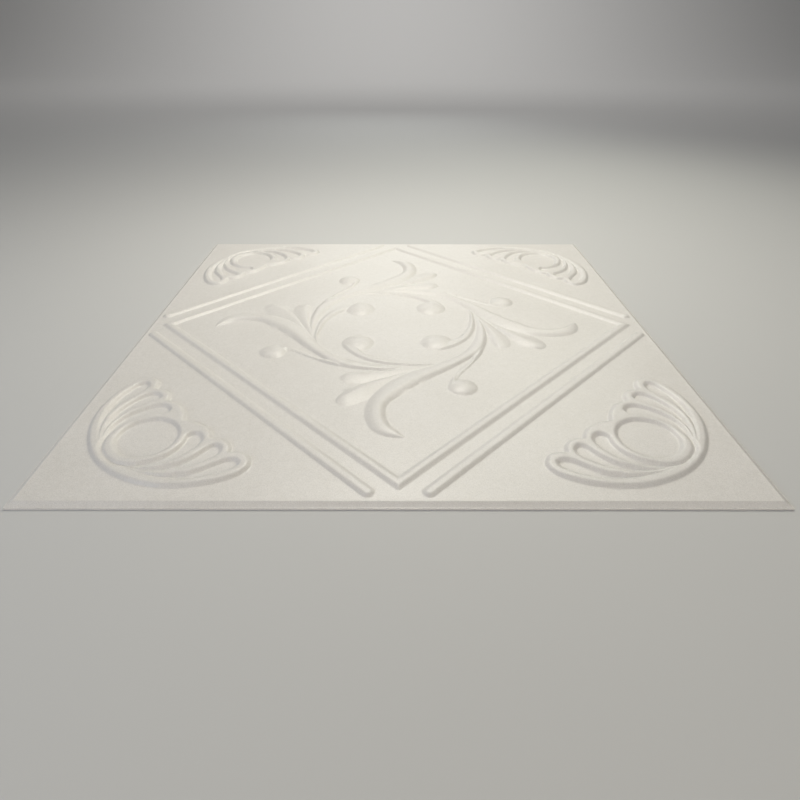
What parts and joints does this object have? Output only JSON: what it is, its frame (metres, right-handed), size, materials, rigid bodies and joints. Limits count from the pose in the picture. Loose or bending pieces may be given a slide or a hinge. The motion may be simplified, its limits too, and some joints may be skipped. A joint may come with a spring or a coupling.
{
  "type": "ceiling tile",
  "caption": "Square foam ceiling tile with a bevelled edge, raised diamond frame, scrolled leaf wreath and shell corners moulded in the face.",
  "frame": {"origin": "centre of the flat back of the tile", "axes": "+Z out of the decorated face, X and Y along the tile's edges"},
  "size_m": [0.5, 0.5, 0.0067],
  "materials": {
    "foam": "satin fine-celled extruded polystyrene foam, off-white"
  },
  "bodies": {
    "root": {"ceiling_tile": "foam"}
  },
  "joints": []
}
